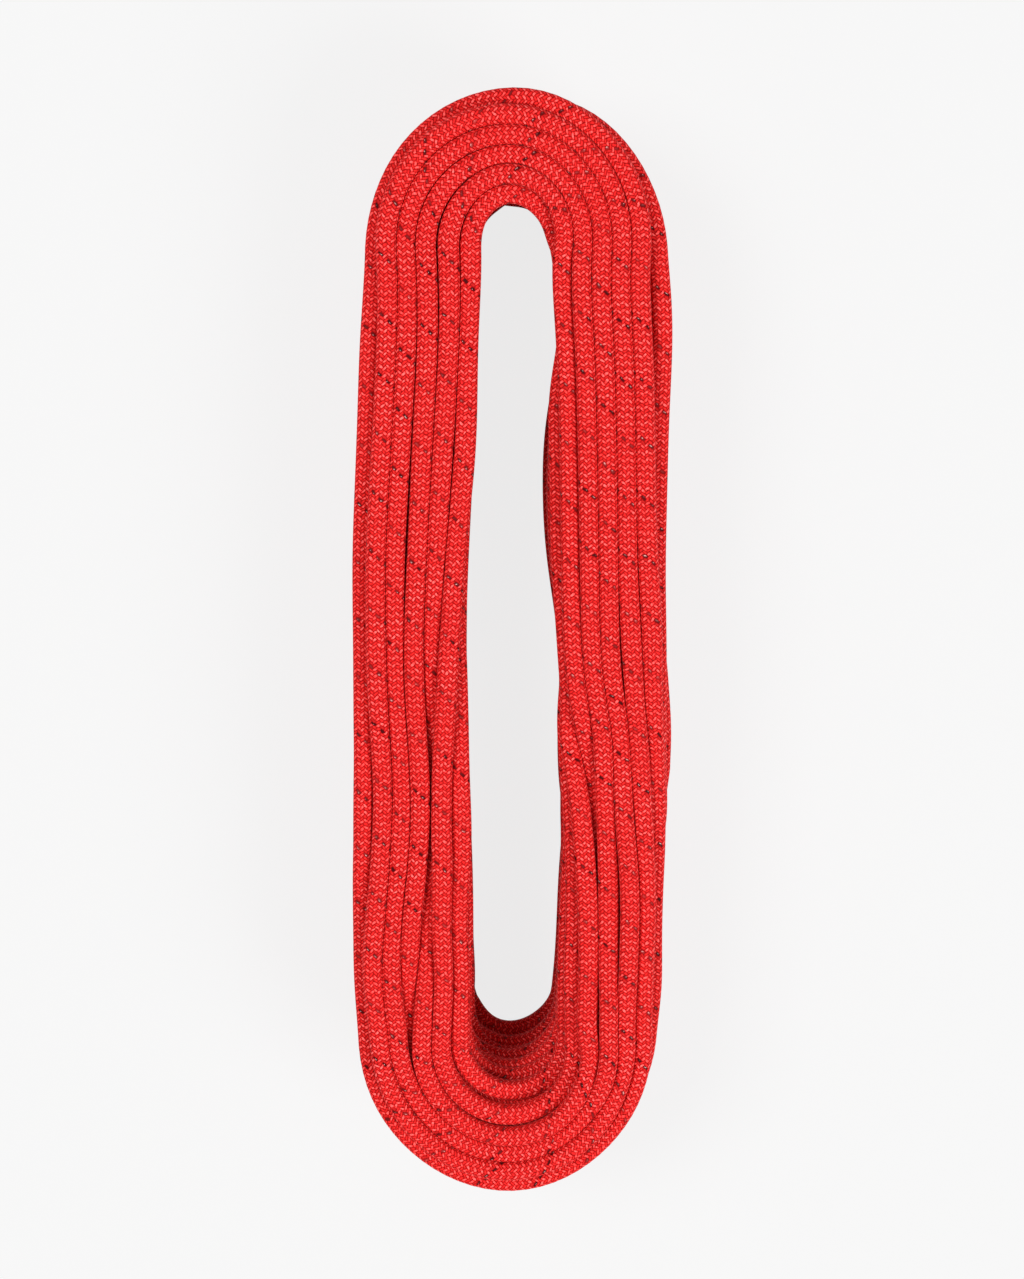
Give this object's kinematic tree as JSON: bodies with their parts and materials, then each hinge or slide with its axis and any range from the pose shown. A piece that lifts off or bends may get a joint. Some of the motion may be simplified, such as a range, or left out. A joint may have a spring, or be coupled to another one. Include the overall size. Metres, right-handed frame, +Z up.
{
  "type": "dynamic climbing rope",
  "caption": "Dynamic climbing rope wound as a long oval hank, with an open eye between its legs and two finished ends on one side.",
  "frame": {"origin": "under the middle of the hank, on the surface it lies on", "axes": "+X across the two legs, towards the leg that holds both rope ends, +Y along the hank, +Z up through its thickness"},
  "size_m": [0.1538, 0.5415, 0.0956],
  "materials": {
    "sheath": "braided red polyamide with one dark and light tracer yarn",
    "core": "undyed laid polyamide yarn",
    "marker": "thin plain tape",
    "sleeve": "clear shrunk film over the red sheath, left bare",
    "fused": "melted and set polyamide, dark and slightly glossy"
  },
  "bodies": {
    "root": {"rope_winding": "sheath", "inner_turns": "sheath", "first_end_sheath": "sheath", "second_end_sheath": "sheath", "core_strand_01": "core", "core_strand_02": "core", "core_strand_03": "core", "core_strand_04": "core", "core_strand_05": "core", "core_strand_06": "core", "core_strand_07": "core", "core_strand_08": "core", "core_strand_09": "core", "core_strand_10": "core", "core_strand_11": "core", "core_strand_12": "core", "marker_tape": "marker", "first_end_sleeve": "sleeve", "second_end_sleeve": "sleeve", "first_end_tip": "fused", "second_end_tip": "fused"}
  },
  "joints": []
}
